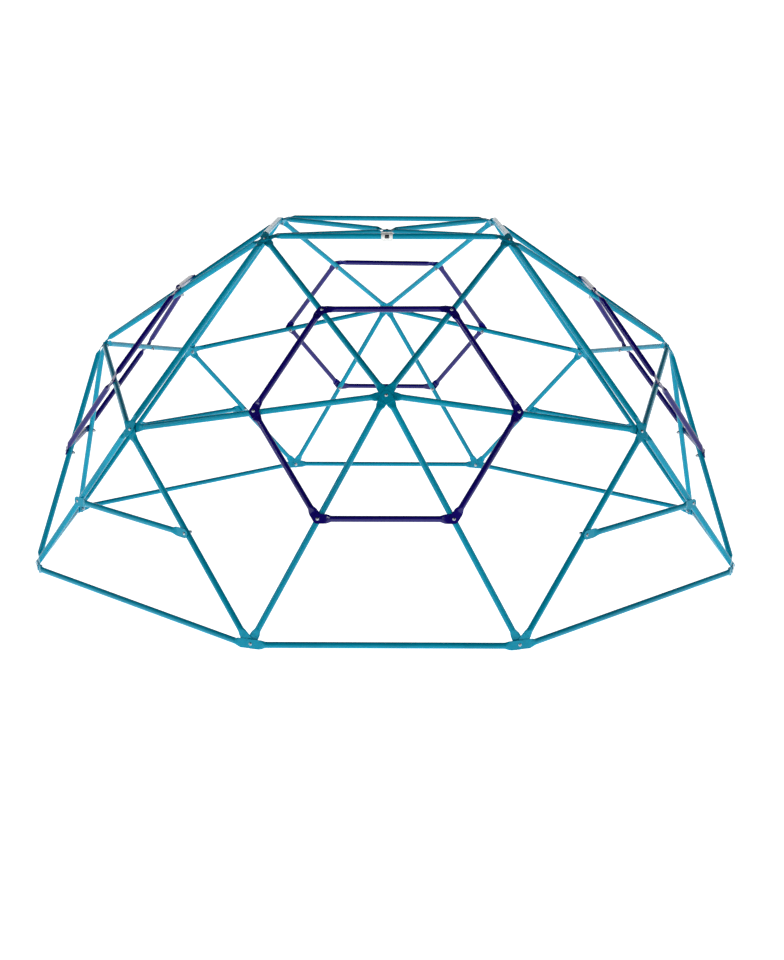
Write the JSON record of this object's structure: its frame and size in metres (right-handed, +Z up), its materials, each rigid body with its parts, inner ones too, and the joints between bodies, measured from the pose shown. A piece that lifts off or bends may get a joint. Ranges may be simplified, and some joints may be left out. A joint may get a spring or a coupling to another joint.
{
  "type": "dome climber",
  "caption": "Free-standing geodesic climbing dome of bolted steel tube, with a flat square top, an octagonal base, hexagonal side faces with ring bars, and crossbars at the corners.",
  "frame": {"origin": "centre of the base on the ground, under the top centre hub", "axes": "+Z up, +X to the right and -Y out of the front face, whose base edge runs along X"},
  "size_m": [3.2046, 3.2046, 1.5312],
  "materials": {
    "teal_powder_coat": "semi-gloss teal powder coat on steel tube",
    "purple_powder_coat": "semi-gloss dark purple powder coat on steel tube",
    "zinc_plated_steel": "bright zinc plating",
    "white_label": "matt white woven label"
  },
  "bodies": {
    "root": {"front_top_edge": "teal_powder_coat", "front_base_edge": "teal_powder_coat", "front_leg_left": "teal_powder_coat", "front_leg_right": "teal_powder_coat", "front_upper_spokes": "teal_powder_coat", "front_side_spokes": "teal_powder_coat", "front_lower_spokes": "teal_powder_coat", "front_ring_bars": "purple_powder_coat", "right_top_edge": "teal_powder_coat", "right_base_edge": "teal_powder_coat", "right_leg_left": "teal_powder_coat", "right_leg_right": "teal_powder_coat", "right_upper_spokes": "teal_powder_coat", "right_side_spokes": "teal_powder_coat", "right_lower_spokes": "teal_powder_coat", "right_ring_bars": "purple_powder_coat", "back_top_edge": "teal_powder_coat", "back_base_edge": "teal_powder_coat", "back_leg_left": "teal_powder_coat", "back_leg_right": "teal_powder_coat", "back_upper_spokes": "teal_powder_coat", "back_side_spokes": "teal_powder_coat", "back_lower_spokes": "teal_powder_coat", "back_ring_bars": "purple_powder_coat", "left_top_edge": "teal_powder_coat", "left_base_edge": "teal_powder_coat", "left_leg_left": "teal_powder_coat", "left_leg_right": "teal_powder_coat", "left_upper_spokes": "teal_powder_coat", "left_side_spokes": "teal_powder_coat", "left_lower_spokes": "teal_powder_coat", "left_ring_bars": "purple_powder_coat", "front_left_upper_edge": "teal_powder_coat", "front_left_base_edge": "teal_powder_coat", "front_left_crossbar": "teal_powder_coat", "front_left_top_brace": "teal_powder_coat", "front_right_upper_edge": "teal_powder_coat", "front_right_base_edge": "teal_powder_coat", "front_right_crossbar": "teal_powder_coat", "front_right_top_brace": "teal_powder_coat", "back_right_upper_edge": "teal_powder_coat", "back_right_base_edge": "teal_powder_coat", "back_right_crossbar": "teal_powder_coat", "back_right_top_brace": "teal_powder_coat", "back_left_upper_edge": "teal_powder_coat", "back_left_base_edge": "teal_powder_coat", "back_left_crossbar": "teal_powder_coat", "back_left_top_brace": "teal_powder_coat", "washers": "zinc_plated_steel", "lock_nuts": "zinc_plated_steel", "top_corner_bolts": "zinc_plated_steel", "shoulder_bolts": "zinc_plated_steel", "face_hub_bolts": "zinc_plated_steel", "base_bolts": "zinc_plated_steel", "ring_bolts": "zinc_plated_steel", "crossbar_bolts": "zinc_plated_steel", "top_centre_bolt": "zinc_plated_steel", "care_label": "white_label"}
  },
  "joints": []
}
